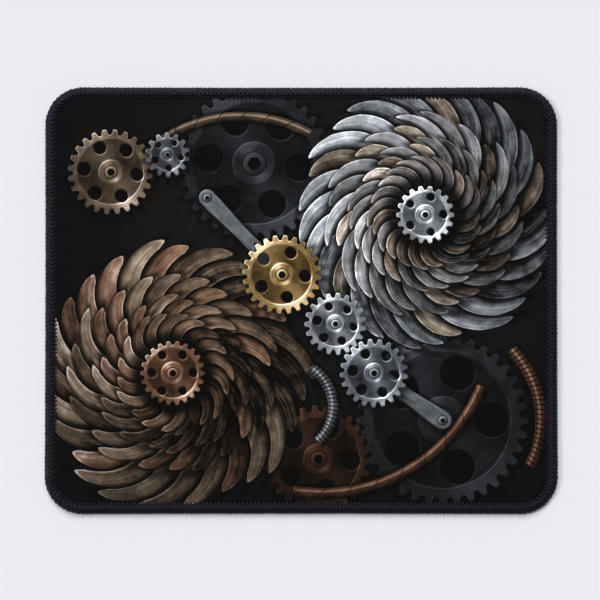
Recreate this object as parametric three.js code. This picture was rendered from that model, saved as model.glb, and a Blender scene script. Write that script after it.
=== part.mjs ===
// A mouse pad with a stitched edge. A printed cloth is bonded to a sheet of sponge rubber, the two are cut
// to shape together, and a three-thread overlock seam wraps the cut edge all the way round.
// Millimetres, +Z up. The origin is the middle of the underside, and X runs along the long sides.
import * as THREE from "three";

// Overall size, measured over the thread.
const PAD_LENGTH = 240;
const PAD_WIDTH = 200;
const CORNER_RADIUS = 18;

// The bonded sheet.
const RUBBER_THICKNESS = 2.6;
const CLOTH_THICKNESS = 0.35;
const GLUE_LINE = 0.05;

// The overlock seam. An inset is a distance inwards from the pad's outermost edge.
const THREAD_LAY = 0.55; // how thick the looper threads lie on the sheet
const THREAD_CLEARANCE = 0.05; // between the threads, and between them and the sheet
const NEEDLE_LINE = 4.5; // where the needle thread lies across the loops and pulls the sheet in
const NEEDLE_THREAD = 0.4; // thickness of the needle thread
const CROWN_INSET = 3.0; // the highest line of the seam
const CROWN_RISE = 0.5; // how far the seam stands above the cloth
const NEEDLE_DIMPLE = 0.4; // how deep the needle thread pulls the cloth in
const LOOP_REACH = 1.2; // how far the upper loops reach in past the needle line
const LOOP_THICKNESS = 0.3; // thickness of the upper loops under the needle thread
const LOOP_TIP = 0.15; // and at their inner ends
const LOWER_REACH = 0.7; // how far the lower loops reach in past the needle line
const DIMPLE_REACH = 1.1; // the inner ends of the upper loops to where the cloth is flat again
const SHOULDER_DROP = 0.55; // how far the crushed upper corner of the sheet lies below its crown
const UNDER_PINCH = 0.5; // how far the lower looper thread presses the rubber up
const UNDER_ROUND = 1.7; // inset at which the rounded lower edge reaches the underside
const PARTING_HEIGHT = 1.55; // where the two looper threads interlock on the edge

// Facets.
const CORNER_STEPS = 11;
const ROUND_STEPS = 6;
const SLOPE_STEPS = 4;
const LOOP_STEPS = 2;
const NEEDLE_SIDES = 8;

const SHEET_THICKNESS = RUBBER_THICKNESS + GLUE_LINE + CLOTH_THICKNESS;
const CUT_INSET = THREAD_LAY + THREAD_CLEARANCE;
const LOOP_END = NEEDLE_LINE + LOOP_REACH;
const LOWER_END = NEEDLE_LINE + LOWER_REACH;
const PINCH_END = LOWER_END + 2 * THREAD_CLEARANCE + UNDER_PINCH;
const FLAT_INSET = LOOP_END + DIMPLE_REACH;
const CROWN_HEIGHT = SHEET_THICKNESS + CROWN_RISE;

const lerp = THREE.MathUtils.lerp;

// A smooth change from one height to another as the inset goes from one value to another.
function slope(inset, fromInset, toInset, fromHeight, toHeight) {
  const share = THREE.MathUtils.smoothstep(inset, Math.min(fromInset, toInset), Math.max(fromInset, toInset));
  return fromInset < toInset ? lerp(fromHeight, toHeight, share) : lerp(toHeight, fromHeight, share);
}

// The height of the cloth's upper surface. It dips at the needle line and bulges up under the looper threads.
function clothTop(inset) {
  const crown = CROWN_HEIGHT - THREAD_LAY - THREAD_CLEARANCE;
  const dimple = SHEET_THICKNESS - NEEDLE_DIMPLE;
  if (inset >= NEEDLE_LINE) return slope(inset, NEEDLE_LINE, FLAT_INSET, dimple, SHEET_THICKNESS);
  if (inset >= CROWN_INSET) return slope(inset, CROWN_INSET, NEEDLE_LINE, crown, dimple);
  const outward = (CROWN_INSET - inset) / (CROWN_INSET - CUT_INSET);
  return crown - SHOULDER_DROP * outward * outward;
}

// The height of the rubber's underside, which the lower looper thread presses up.
function rubberUnderside(inset) {
  return slope(inset, LOWER_END, PINCH_END, UNDER_PINCH, 0);
}

// The height of the upper loops' ends, which thin out over the cloth from the needle thread inwards.
function loopTop(inset) {
  return clothTop(inset) + THREAD_CLEARANCE + slope(inset, NEEDLE_LINE, LOOP_END, LOOP_THICKNESS, LOOP_TIP);
}

// Evenly spaced insets, both ends included.
function insets(from, to, steps) {
  return Array.from({ length: steps + 1 }, (_, i) => lerp(from, to, i / steps));
}

// The insets at which the sheet's layers are shaped, from the flat middle out to the cut edge.
const SHEET_INSETS = [
  ...insets(FLAT_INSET, LOOP_END, LOOP_STEPS),
  ...insets(LOOP_END, NEEDLE_LINE, LOOP_STEPS).slice(1),
  ...insets(NEEDLE_LINE, CROWN_INSET, SLOPE_STEPS).slice(1),
  ...insets(CROWN_INSET, CUT_INSET, SLOPE_STEPS).slice(1),
];

// A rounded rectangle, this far in from the pad's outermost edge, as points going anticlockwise.
function outline(inset) {
  const radius = CORNER_RADIUS - inset;
  const points = [];
  for (let corner = 0; corner < 4; corner++) {
    const alongX = corner === 0 || corner === 3 ? 1 : -1;
    const alongY = corner < 2 ? 1 : -1;
    const centre = new THREE.Vector2(
      alongX * (PAD_LENGTH / 2 - CORNER_RADIUS),
      alongY * (PAD_WIDTH / 2 - CORNER_RADIUS),
    );
    for (let step = 0; step <= CORNER_STEPS; step++) {
      const angle = ((corner + step / CORNER_STEPS) * Math.PI) / 2;
      points.push(new THREE.Vector2(Math.cos(angle), Math.sin(angle)).multiplyScalar(radius).add(centre));
    }
  }
  return points;
}

// Carries a section round the pad. The section is a list of points whose x is an inset and whose y is a
// height, going outwards over the top and down. A closed section makes a ring, and an open one a sheet that
// is capped flat at both ends of the section.
function carryRound(section, closed) {
  const loops = section.map((point) => outline(point.x));
  const count = loops[0].length;
  const positions = loops.flatMap((loop, i) => loop.flatMap((p) => [p.x, p.y, section[i].y]));
  const index = [];
  for (let i = 0; i < section.length - (closed ? 0 : 1); i++) {
    const next = (i + 1) % section.length;
    for (let j = 0; j < count; j++) {
      const along = (j + 1) % count;
      const [a, b, c, d] = [i * count + j, next * count + j, next * count + along, i * count + along];
      index.push(a, b, c, a, c, d);
    }
  }
  if (!closed) {
    const last = (section.length - 1) * count;
    for (const [a, b, c] of THREE.ShapeUtils.triangulateShape(loops[0], [])) index.push(a, b, c);
    for (const [a, b, c] of THREE.ShapeUtils.triangulateShape(loops.at(-1), [])) {
      index.push(last + a, last + c, last + b);
    }
  }
  const geometry = new THREE.BufferGeometry();
  geometry.setAttribute("position", new THREE.Float32BufferAttribute(positions, 3));
  geometry.setIndex(index);
  geometry.computeVertexNormals();
  return geometry;
}

// Points along a quarter of an ellipse about a centre, from one angle to another.
function quarterRound(centreInset, centreHeight, reach, rise, fromAngle, toAngle) {
  const curve = new THREE.EllipseCurve(
    centreInset, centreHeight, reach, rise, fromAngle, toAngle, toAngle < fromAngle,
  );
  return curve.getPoints(ROUND_STEPS);
}

const at = (inset, height) => new THREE.Vector2(inset, height);

// Sponge rubber, with a flat underside, pinched along its edge by the seam.
function rubberBase() {
  const top = SHEET_INSETS.map((inset) => at(inset, clothTop(inset) - CLOTH_THICKNESS - GLUE_LINE));
  const pinch = insets(LOWER_END, PINCH_END, SLOPE_STEPS);
  const lowerEdge = quarterRound(
    UNDER_ROUND, PARTING_HEIGHT, UNDER_ROUND - CUT_INSET, PARTING_HEIGHT - UNDER_PINCH,
    Math.PI, 1.5 * Math.PI,
  );
  const underside = pinch.map((inset) => at(inset, rubberUnderside(inset)));
  return carryRound([...top, ...lowerEdge, ...underside], false);
}

// The cloth follows the rubber's upper surface out to the cut edge.
function clothTopSheet() {
  const upper = SHEET_INSETS.map((inset) => at(inset, clothTop(inset)));
  const lower = SHEET_INSETS.map((inset) => at(inset, clothTop(inset) - CLOTH_THICKNESS)).reverse();
  return carryRound([...upper, ...lower], false);
}

// The upper looper thread runs from its loops' inner ends, under the needle thread, over the crown and down
// to where it interlocks.
function upperLooper() {
  const ends = insets(LOOP_END, NEEDLE_LINE, LOOP_STEPS).map((inset) => at(inset, loopTop(inset)));
  const rise = insets(NEEDLE_LINE, CROWN_INSET, SLOPE_STEPS).slice(1, -1);
  const over = rise.map((inset) => at(inset, slope(
    inset, CROWN_INSET, NEEDLE_LINE, CROWN_HEIGHT, loopTop(NEEDLE_LINE),
  )));
  const round = quarterRound(
    CROWN_INSET, PARTING_HEIGHT, CROWN_INSET, CROWN_HEIGHT - PARTING_HEIGHT, Math.PI / 2, Math.PI,
  );
  const bed = SHEET_INSETS.filter((inset) => inset <= LOOP_END && inset > CUT_INSET).reverse();
  const under = bed.map((inset) => at(inset, clothTop(inset) + THREAD_CLEARANCE));
  const shoulder = at(THREAD_LAY, clothTop(CUT_INSET) + THREAD_CLEARANCE);
  return carryRound([...ends, ...over, ...round, at(THREAD_LAY, PARTING_HEIGHT), shoulder, ...under], true);
}

// The lower looper thread takes over on the edge and runs in under the rubber, flush with its underside.
function lowerLooper() {
  const start = PARTING_HEIGHT - THREAD_CLEARANCE;
  const outer = quarterRound(UNDER_ROUND, start, UNDER_ROUND, start, Math.PI, 1.5 * Math.PI);
  const inner = quarterRound(
    UNDER_ROUND, start, UNDER_ROUND - THREAD_LAY, start - UNDER_PINCH + THREAD_CLEARANCE,
    1.5 * Math.PI, Math.PI,
  );
  const end = [at(LOWER_END, 0), at(LOWER_END, UNDER_PINCH - THREAD_CLEARANCE)];
  return carryRound([...outer, ...end, ...inner], true);
}

// The needle thread lies across the upper loops, in the dip that it pulls, and holds them down.
function needleThread() {
  const radius = NEEDLE_THREAD / 2;
  const centreHeight = loopTop(NEEDLE_LINE) + THREAD_CLEARANCE + radius;
  const section = Array.from({ length: NEEDLE_SIDES }, (_, i) => {
    const angle = (i / NEEDLE_SIDES) * 2 * Math.PI;
    return at(NEEDLE_LINE + radius * Math.cos(angle), centreHeight + radius * Math.sin(angle));
  });
  return carryRound(section, true);
}

function material(colour, roughness) {
  return new THREE.MeshStandardMaterial({ color: colour, roughness, metalness: 0 });
}

const RUBBER = material(0x161616, 0.85);
const PRINTED_CLOTH = material(0x2b2a29, 0.8);
const THREAD = material(0x1d1b22, 0.6);

function piece(name, geometry, finish) {
  const mesh = new THREE.Mesh(geometry, finish);
  mesh.name = name;
  return mesh;
}

const pad = new THREE.Group();
pad.name = "mouse_pad";
pad.add(
  piece("rubber_base", rubberBase(), RUBBER),
  piece("cloth_top", clothTopSheet(), PRINTED_CLOTH),
  piece("upper_looper_thread", upperLooper(), THREAD),
  piece("lower_looper_thread", lowerLooper(), THREAD),
  piece("needle_thread", needleThread(), THREAD),
);

export default pad;
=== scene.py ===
# %% [markdown]
# A mouse pad with a stitched edge.
# The real pad is a thin sandwich: sponge rubber below, a printed cloth above, and a close overlock seam of
# three threads wrapped round the cut edge. This lesson builds each of them as a mesh of its own, in metres,
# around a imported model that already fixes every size.

# %% Load the frame
import math
from functools import partial

import bmesh
import bpy
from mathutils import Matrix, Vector, geometry


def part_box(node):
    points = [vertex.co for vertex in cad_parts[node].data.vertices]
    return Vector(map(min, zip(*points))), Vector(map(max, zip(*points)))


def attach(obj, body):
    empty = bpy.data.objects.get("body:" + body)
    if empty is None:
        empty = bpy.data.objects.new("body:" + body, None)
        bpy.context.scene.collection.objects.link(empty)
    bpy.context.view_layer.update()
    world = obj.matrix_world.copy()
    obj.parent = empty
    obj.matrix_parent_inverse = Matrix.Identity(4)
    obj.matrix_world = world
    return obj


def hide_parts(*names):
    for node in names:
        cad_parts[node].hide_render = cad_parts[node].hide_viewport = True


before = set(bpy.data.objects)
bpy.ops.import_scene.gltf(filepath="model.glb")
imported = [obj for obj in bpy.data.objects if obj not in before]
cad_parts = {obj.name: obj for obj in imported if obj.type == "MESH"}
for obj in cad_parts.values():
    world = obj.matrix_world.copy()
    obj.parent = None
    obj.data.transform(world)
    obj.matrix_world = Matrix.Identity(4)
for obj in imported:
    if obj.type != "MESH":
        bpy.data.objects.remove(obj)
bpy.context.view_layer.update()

# %% [markdown]
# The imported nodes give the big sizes. The rim is the outermost thing, so its box is the pad's box. The
# corner radius and the seam's insets aren't in any box, so they are named here. An inset is measured
# inwards from the pad's outermost edge.

# %% Read the sizes
MM = 0.001
TURN = 2 * math.pi

rim_low, rim_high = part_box("upper_looper_thread")
cloth_low, cloth_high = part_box("cloth_top")

LENGTH = rim_high.x - rim_low.x
WIDTH = rim_high.y - rim_low.y
CUT_INSET = cloth_low.x - rim_low.x
CLOTH_FACE = cloth_high.z
RIM_TOP = rim_high.z
PARTING = rim_low.z

CORNER_RADIUS = 18 * MM
CROWN_INSET = 3.0 * MM
NEEDLE_LINE = 4.5 * MM
TOOTH_INSET = 5.75 * MM
FLAT_INSET = 6.8 * MM
STITCH_PITCH = 1.87 * MM

print(f"the pad is {LENGTH / MM:.0f} by {WIDTH / MM:.0f} mm")
print(f"its cloth lies at {CLOTH_FACE / MM:.1f} mm and its rim at {RIM_TOP / MM:.1f} mm")

# %% [markdown]
# The photograph looks straight down from far away, so the camera has a long lens. It is tipped by less than
# a degree, which makes the near side of the pad a hair wider than the far side, as it is there. A camera
# without perspective would be simpler, but it would lose that.

# %% Set up the camera
scene = bpy.context.scene
FRAME_WIDTH = 280.0 * MM
SENSOR = 36.0
LENS = 110.0
CAMERA_TIP = math.radians(0.8)
AIM = Vector((-0.6 * MM, 0.2 * MM, RIM_TOP))

camera_data = bpy.data.cameras.new("camera")
camera_data.sensor_width = SENSOR
camera_data.lens = LENS
camera = bpy.data.objects.new("camera", camera_data)
scene.collection.objects.link(camera)
reach = FRAME_WIDTH * LENS / SENSOR
camera.location = AIM + Vector((0, -math.sin(CAMERA_TIP), math.cos(CAMERA_TIP))) * reach
camera.rotation_euler = (CAMERA_TIP, 0, 0)
scene.camera = camera
print(f"the camera stands {reach:.2f} m above the pad")

# %% [markdown]
# A flat thing needs even light, so every light here is a sun, and its wide angle makes it as soft as a
# large studio box. The shadow along the lower edge is the deepest, so the strongest light comes from the
# top. The one along the right edge is fainter, so a weaker one comes from the left. A very wide one
# overhead and a weak sky fill in the rest.

# %% Light the scene
SOFTBOXES = {  # name: side and height it comes from, angle it fills, all in degrees, and its strength
    "from the top": (90, 47, 44, 2.05),
    "from the left": (180, 42, 20, 1.18),
    "overhead": (90, 86, 70, 0.33),
}
SKY_TINT = (0.97, 0.98, 1.0, 1.0)
SKY_STRENGTH = 0.21

scene.view_settings.view_transform = "Standard"
for name, (side, lift, angle, energy) in SOFTBOXES.items():
    sun_data = bpy.data.lights.new(name, "SUN")
    sun_data.energy = energy
    sun_data.angle = math.radians(angle)
    sun = bpy.data.objects.new(name, sun_data)
    scene.collection.objects.link(sun)
    sun.rotation_euler = (math.radians(90 - lift), 0, math.radians(side + 90))
    print(f"{name}: {angle} degrees wide, {energy} W/m2")

world = bpy.data.worlds.new("studio")
world.use_nodes = True
sky = world.node_tree.nodes["Background"]
sky.inputs["Color"].default_value = SKY_TINT
sky.inputs["Strength"].default_value = SKY_STRENGTH
scene.world = world


# %% [markdown]
# Both kinds of node tree in this file, for shapes and for finishes, are written as formulas. A small class
# stands for a value on its way through a tree, so that a sum or a product adds a node.

# %% A value in a node tree
class Flow:
    """A value travelling through a node tree."""

    def __init__(self, tree, socket):
        self.tree, self.socket = tree, socket

    def __add__(self, other):
        return maths("ADD", self, other)

    __radd__ = __add__

    def __sub__(self, other):
        return maths("SUBTRACT", self, other)

    def __rsub__(self, other):
        return maths("SUBTRACT", other, self)

    def __mul__(self, other):
        return maths("MULTIPLY", self, other)

    __rmul__ = __mul__

    def __truediv__(self, other):
        return maths("DIVIDE", self, other)

    def __rtruediv__(self, other):
        return maths("DIVIDE", other, self)


# %% Nodes from values
def tree_of(*values):
    return next(value.tree for value in values if isinstance(value, Flow))


def plug(tree, socket, value):
    """Puts a value into a socket: a link from another node, or a plain number."""
    if isinstance(value, Flow):
        tree.links.new(value.socket, socket)
    else:
        socket.default_value = value


def add_node(tree, kind, inputs=None, output=0, **settings):
    """Adds a node, sets it up, plugs in its inputs by name or number, and gives back one of its outputs."""
    node = tree.nodes.new(kind)
    for name, value in settings.items():
        setattr(node, name, value)
    for name, value in (inputs or {}).items():
        plug(tree, node.inputs[name], value)
    return Flow(tree, node.outputs[output])


def maths(operation, *values):
    return add_node(tree_of(*values), "ShaderNodeMath", dict(enumerate(values)), operation=operation)


def vectors(operation, *values, scale=None, output="Vector"):
    inputs = dict(enumerate(values))
    if scale is not None:
        inputs["Scale"] = scale
    return add_node(tree_of(*values, scale), "ShaderNodeVectorMath", inputs, output, operation=operation)


def join(x, y, z=0.0):
    """A vector from its three numbers."""
    return add_node(tree_of(x, y, z), "ShaderNodeCombineXYZ", {"X": x, "Y": y, "Z": z})


def split(vector):
    """The three numbers of a vector."""
    whole = add_node(vector.tree, "ShaderNodeSeparateXYZ", {0: vector})
    return tuple(Flow(vector.tree, output) for output in whole.socket.node.outputs)


def new_group(name, kind, inputs):
    """An empty node group with named inputs, and those inputs as values."""
    group = bpy.data.node_groups.new(name, kind)
    for label, socket in inputs.items():
        group.interface.new_socket(label, in_out="INPUT", socket_type="NodeSocket" + socket)
    start = group.nodes.new("NodeGroupInput")
    return group, [Flow(group, start.outputs[label]) for label in inputs]


def close_group(group, socket, results):
    """Gives a group its outputs, all of one kind."""
    for label in results:
        group.interface.new_socket(label, in_out="OUTPUT", socket_type="NodeSocket" + socket)
    end = group.nodes.new("NodeGroupOutput")
    for label, value in results.items():
        plug(group, end.inputs[label], value)
    return group


# %% Words for the formulas
smallest = partial(maths, "MINIMUM")
largest = partial(maths, "MAXIMUM")
size_of = partial(maths, "ABSOLUTE")
floored = partial(maths, "FLOOR")
fraction = partial(maths, "FRACT")
power = partial(maths, "POWER")
cosine = partial(maths, "COSINE")
sine = partial(maths, "SINE")


def distance(x, y):
    return maths("SQRT", x * x + y * y)


# %% [markdown]
# Everything at the rim follows one line: the outline of the pad, pulled in by some inset. A point at an
# inset lies that far along the inward normal. So a sweep needs only places on the outline, each with its
# inward normal. They are counted along the needle line, a few to each stitch, so that the cloth can pucker
# where the needle goes through.

# %% Walk round the outline
def rim_place(way, inset):
    """The outline's point and inward normal, some way round the line that lies at an inset."""
    half_x, half_y = LENGTH / 2 - CORNER_RADIUS, WIDTH / 2 - CORNER_RADIUS
    radius = CORNER_RADIUS - inset
    corners = ((half_x, half_y), (-half_x, half_y), (-half_x, -half_y), (half_x, -half_y))
    for number, (corner_x, corner_y) in enumerate(corners):
        turned = min(way / radius, TURN / 4)
        angle = number * TURN / 4 + turned
        outwards = Vector((math.cos(angle), math.sin(angle), 0))
        place = Vector((corner_x, corner_y, 0)) + outwards * CORNER_RADIUS
        way -= TURN / 4 * radius
        side = 2 * (half_x if number % 2 == 0 else half_y)
        if way < side:
            forwards = Vector((-outwards.y, outwards.x, 0))
            return place + forwards * max(0.0, way), -outwards
        way -= side
    return rim_place(way, inset)


SEAM_LENGTH = 2 * (LENGTH + WIDTH) - 8 * CORNER_RADIUS + TURN * (CORNER_RADIUS - NEEDLE_LINE)
STITCHES = round(SEAM_LENGTH / STITCH_PITCH)
PITCH = SEAM_LENGTH / STITCHES


def stations(per_stitch):
    """Places round the rim, each with its inward normal and how many stitches it is from the start."""
    count = STITCHES * per_stitch
    return [(*rim_place(i / per_stitch * PITCH, NEEDLE_LINE), i / per_stitch) for i in range(count)]


print(f"the needle line is {SEAM_LENGTH / MM:.0f} mm round and takes {STITCHES} stitches")


# %% Sweep a section round the rim
def smooth_step(value, start, end):
    share = min(1.0, max(0.0, (value - start) / (end - start)))
    return share * share * (3 - 2 * share)


def carry_round(mesh, places, section, closed=False):
    """Sweeps (inset, height) points round the pad. The section may change with the stitch."""
    rings = []
    for place, normal, stitch in places:
        spots = [place + normal * inset + Vector((0, 0, height)) for inset, height in section(stitch)]
        rings.append([mesh.verts.new(spot) for spot in spots])
    count = len(rings[0])
    for ring, following in zip(rings, rings[1:] + rings[:1]):
        for i in range(count if closed else count - 1):
            j = (i + 1) % count
            mesh.faces.new((ring[i], following[i], following[j], ring[j]))
    return rings


INSIDE_ONLY = 1  # the triangulation's choice of result: what lies within the loop
MERGE_WITHIN = 1e-7


def fill_flat(mesh, loop, spacing):
    """Fills a level loop with triangles, with a grid of points in its middle."""
    height = loop[0].co.z
    points = [vert.co.to_2d() for vert in loop]
    edges = [(i, (i + 1) % len(points)) for i in range(len(points))]
    columns = int((max(point.x for point in points) - CORNER_RADIUS) / spacing)
    rows = int((max(point.y for point in points) - CORNER_RADIUS) / spacing)
    for i in range(-columns, columns + 1):
        points += [Vector((i * spacing, j * spacing)) for j in range(-rows, rows + 1)]
    filled = geometry.delaunay_2d_cdt(points, edges, [], INSIDE_ONLY, MERGE_WITHIN)
    _, _, triangles, origins, _, _ = filled
    verts = list(loop) + [mesh.verts.new((point.x, point.y, height)) for point in points[len(loop):]]
    for triangle in triangles:
        mesh.faces.new([verts[origins[i][0]] for i in triangle])


def mesh_object(name, mesh):
    """Turns mesh code's result into an object with its faces pointing outwards."""
    bmesh.ops.recalc_face_normals(mesh, faces=mesh.faces)
    data = bpy.data.meshes.new(name)
    mesh.to_mesh(data)
    mesh.free()
    data.shade_smooth()
    made = bpy.data.objects.new(name, data)
    scene.collection.objects.link(made)
    print(name, "has", len(data.polygons), "faces")
    return made


# %% [markdown]
# The stitches lean. Each loop of thread goes straight over the outer half of the rim, and then drifts back
# on its way in, under the needle thread, to its inner end on the cloth. The needle goes down between two
# loops, and the cloth is pulled in most where the inner ends of two loops meet.

# %% Settle how the stitches lie
LEAN = -1.8 * MM
LEAN_FROM, LEAN_TO = -0.2, 0.62  # the shares of a stitch's way between which it drifts
LOOP_END = 0.04  # the share where the rounded inner end of a loop has its middle


def lean(share):
    """How far a stitch has drifted along the seam, at a share of its way from the inner end to the edge."""
    return LEAN * (1 - smooth_step(share, LEAN_FROM, LEAN_TO))


NEEDLE_SHARE = (TOOTH_INSET - NEEDLE_LINE) / (TOOTH_INSET - CROWN_INSET) / 2
HOLE_SHIFT = 0.5 + lean(NEEDLE_SHARE) / PITCH
NOTCH_SHIFT = 0.5 + lean(LOOP_END) / PITCH

# %% [markdown]
# The cloth is a knitted polyester, a third of a millimetre thick, glued to the rubber. The seam squeezes
# the sheet at its edge, so the cloth dips to the needle line and rises again to the flat face. It is pulled
# in a little deeper in the notch between two loops, and puffs up before the end of each. All of that is one
# swept band with a flat middle, on both faces, so the sheet is closed. Displacing a fine grid would take
# many more faces for the same puckers.

# %% Make the cloth
CLOTH_THICKNESS = 0.35 * MM
CROWN_DROP = 0.1 * MM
SHOULDER_DROP = 0.6 * MM
DIP = 0.4 * MM
DIMPLE_DEPTH = 0.26 * MM
DIMPLE_REACH = 0.45 * MM
PUCKER = 0.05 * MM
PUFF_END = 7.9 * MM
STEPS_PER_STITCH = 5
FINE_GRID, COARSE_GRID = 6 * MM, 12 * MM
CLOTH_BAND = [CUT_INSET] + [
    inset * MM for inset in (1.4, 2.2, 3.0, 3.7, 4.4, 4.9, 5.2, 5.5, 5.8, 6.1, 6.5, 7.0, 7.6, 8.3)]
UNDER_BAND = [CUT_INSET] + [inset * MM for inset in (1.8, 3.0, 4.2, 5.2, 6.2, 8.3)]


def cloth_height(inset):
    """The cloth's face without its puckers."""
    crown, dip = CLOTH_FACE - CROWN_DROP, CLOTH_FACE - DIP
    if inset < CROWN_INSET:
        return crown - SHOULDER_DROP * ((CROWN_INSET - inset) / (CROWN_INSET - CUT_INSET)) ** 2
    if inset < NEEDLE_LINE:
        return crown + (dip - crown) * smooth_step(inset, CROWN_INSET, NEEDLE_LINE)
    return dip + (CLOTH_FACE - dip) * smooth_step(inset, NEEDLE_LINE, FLAT_INSET)


def puckered_height(inset, stitch):
    """The same with a dimple in each notch and a puff between them."""
    wave = math.cos((stitch - NOTCH_SHIFT) * TURN)
    in_notch = (0.5 + 0.5 * wave) ** 3 * math.exp(-(((inset - TOOTH_INSET) / DIMPLE_REACH) ** 2))
    near_seam = smooth_step(inset, NEEDLE_LINE, TOOTH_INSET) * (1 - smooth_step(inset, TOOTH_INSET, PUFF_END))
    return cloth_height(inset) - DIMPLE_DEPTH * in_notch - PUCKER * wave * near_seam


def cloth_section(stitch):
    face = [(inset, puckered_height(inset, stitch)) for inset in reversed(CLOTH_BAND)]
    return face + [(inset, cloth_height(inset) - CLOTH_THICKNESS) for inset in UNDER_BAND]


def make_cloth():
    mesh = bmesh.new()
    rings = carry_round(mesh, stations(STEPS_PER_STITCH), cloth_section)
    fill_flat(mesh, [ring[0] for ring in rings], FINE_GRID)
    fill_flat(mesh, [ring[-1] for ring in rings], COARSE_GRID)
    return mesh_object("printed_cloth", mesh)


cloth = make_cloth()

# %% [markdown]
# The sponge rubber fills the sheet up to the glue line. Its underside is moulded with fine waves that grip
# the desk. The slab is swept like the cloth. The ribs come from a Geometry Nodes tree: a grid of points cut
# to the field's rounded outline, its lines along X turned into curves, bent into waves, and given a low
# round section. An Array modifier would repeat one rib, but it couldn't end them all at the field's round
# corners.

# %% Make the rubber slab
GLUE_LINE = 0.05 * MM
RIB_DEPTH = 0.3 * MM
PINCH = 0.55 * MM
PINCHED_TO, FREE_FROM = 4.9 * MM, 5.9 * MM
RUBBER_BAND = [CUT_INSET] + [inset * MM for inset in (1.4, 2.2, 3.0, 3.7, 4.4, 5.2, 6.0, 7.0)]


def rubber_section(stitch):
    face = [(inset, cloth_height(inset) - CLOTH_THICKNESS - GLUE_LINE) for inset in reversed(RUBBER_BAND)]
    under = []
    for inset in RUBBER_BAND:
        free = smooth_step(inset, PINCHED_TO, FREE_FROM)
        under.append((inset, PINCH + (RIB_DEPTH - PINCH) * free))
    return face + under


def make_slab():
    mesh = bmesh.new()
    rings = carry_round(mesh, stations(1), rubber_section)
    for end in (0, -1):
        fill_flat(mesh, [ring[end] for ring in rings], COARSE_GRID)
    return mesh_object("rubber_sheet", mesh)


rubber = make_slab()


# %% Grow the ribs
STEPS_PER_WAVE = 8.0
RIB_SIDES = 6
RIB_HALF_WIDTH = 0.3  # as a share of the pitch
LEVEL_WITHIN = 1e-6


def rib_tree():
    sizes = ("Length", "Width", "Corner radius", "Pitch", "Depth", "Wave", "Bend")
    tree, (slab, length, width, corner, pitch, depth, wave, bend, rubber) = new_group(
        "Wave ribs", "GeometryNodeTree",
        {"Slab": "Geometry", **dict.fromkeys(sizes, "Float"), "Rubber": "Material"})
    node = partial(add_node, tree)
    rows = floored(width / pitch) + 1.0
    grid = node("GeometryNodeMeshGrid", {
        "Size X": length, "Vertices X": maths("ROUND", length / wave * STEPS_PER_WAVE) + 1.0,
        "Size Y": (rows - 1.0) * pitch, "Vertices Y": rows})
    x, y, _ = split(node("GeometryNodeInputPosition"))
    past_x = largest(size_of(x) - length * 0.5 + corner, 0.0)
    past_y = largest(size_of(y) - width * 0.5 + corner, 0.0)
    outside = maths("GREATER_THAN", distance(past_x, past_y), corner)
    grid = node("GeometryNodeDeleteGeometry", {"Geometry": grid, "Selection": outside}, domain="POINT")
    ends = node("GeometryNodeInputMeshEdgeVertices").socket.node
    _, first_y, _ = split(Flow(tree, ends.outputs["Position 1"]))
    _, second_y, _ = split(Flow(tree, ends.outputs["Position 2"]))
    along_x = maths("LESS_THAN", size_of(first_y - second_y), LEVEL_WITHIN)
    lines = node("GeometryNodeMeshToCurve", {"Mesh": grid, "Selection": along_x})
    lines = node("GeometryNodeSetPosition", {
        "Geometry": lines, "Offset": join(0.0, bend * sine(x / wave * TURN), depth)})
    lines = node("GeometryNodeSetCurveNormal", {"Curve": lines}, mode="Z_UP")
    ring = node("GeometryNodeCurvePrimitiveCircle", {"Resolution": RIB_SIDES, "Radius": 1.0})
    ring = node("GeometryNodeTransform", {
        "Geometry": ring, "Scale": join(pitch * RIB_HALF_WIDTH, depth, 1.0)})
    ribs = node("GeometryNodeCurveToMesh", {"Curve": lines, "Profile Curve": ring, "Fill Caps": True})
    both = tree.nodes.new("GeometryNodeJoinGeometry")
    for part in (ribs, slab):
        tree.links.new(part.socket, both.inputs[0])
    both = node("GeometryNodeRealizeInstances", {"Geometry": Flow(tree, both.outputs[0])})
    both = node("GeometryNodeSetMaterial", {"Geometry": both, "Material": rubber})
    return close_group(tree, "Geometry", {"Sheet": both})


# %% Run a tree and keep its mesh
def run_tree(piece, tree, **values):
    """Runs a tree on a piece's own mesh and leaves the result there as a plain mesh."""
    modifier = piece.modifiers.new(tree.name, "NODES")
    modifier.node_group = tree
    sockets = {item.name: item.identifier for item in tree.interface.items_tree if item.in_out == "INPUT"}
    for label, value in values.items():
        modifier[sockets[label.replace("_", " ")]] = value
    evaluated = piece.evaluated_get(bpy.context.evaluated_depsgraph_get())
    result = bpy.data.meshes.new_from_object(evaluated)
    piece.modifiers.remove(modifier)
    finish = result.materials[-1]
    result.materials.clear()
    result.materials.append(finish)
    for polygon in result.polygons:
        polygon.material_index = 0
    piece.data = result
    result.name = piece.name
    print(piece.name, "now has", len(result.polygons), "faces")
    return piece


# %% Mould the ribs on the slab
RIB_INSET = 6.6 * MM
rubber_finish = bpy.data.materials.new("sponge_rubber")
run_tree(rubber, rib_tree(), Length=LENGTH - 2 * RIB_INSET, Width=WIDTH - 2 * RIB_INSET,
         Corner_radius=CORNER_RADIUS - RIB_INSET, Pitch=3.6 * MM, Depth=RIB_DEPTH, Wave=10 * MM,
         Bend=1.1 * MM, Rubber=rubber_finish)

# %% [markdown]
# A stitch of the seam is one loop of fluffy looper thread. It starts on the cloth, runs out under the
# needle thread and across the rim, turns round the other looper's loop at the edge and comes back beside
# itself. In section the rim is a soft roll: a quarter of an ellipse outside its crown, a slope that
# steepens down to the needle line, and a level foot inside that. The loop is a tube of few faces, since the
# rim repeats it hundreds of times. One long curve wound round the whole rim would be truer, but it would be
# hard to read and to change.

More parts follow.
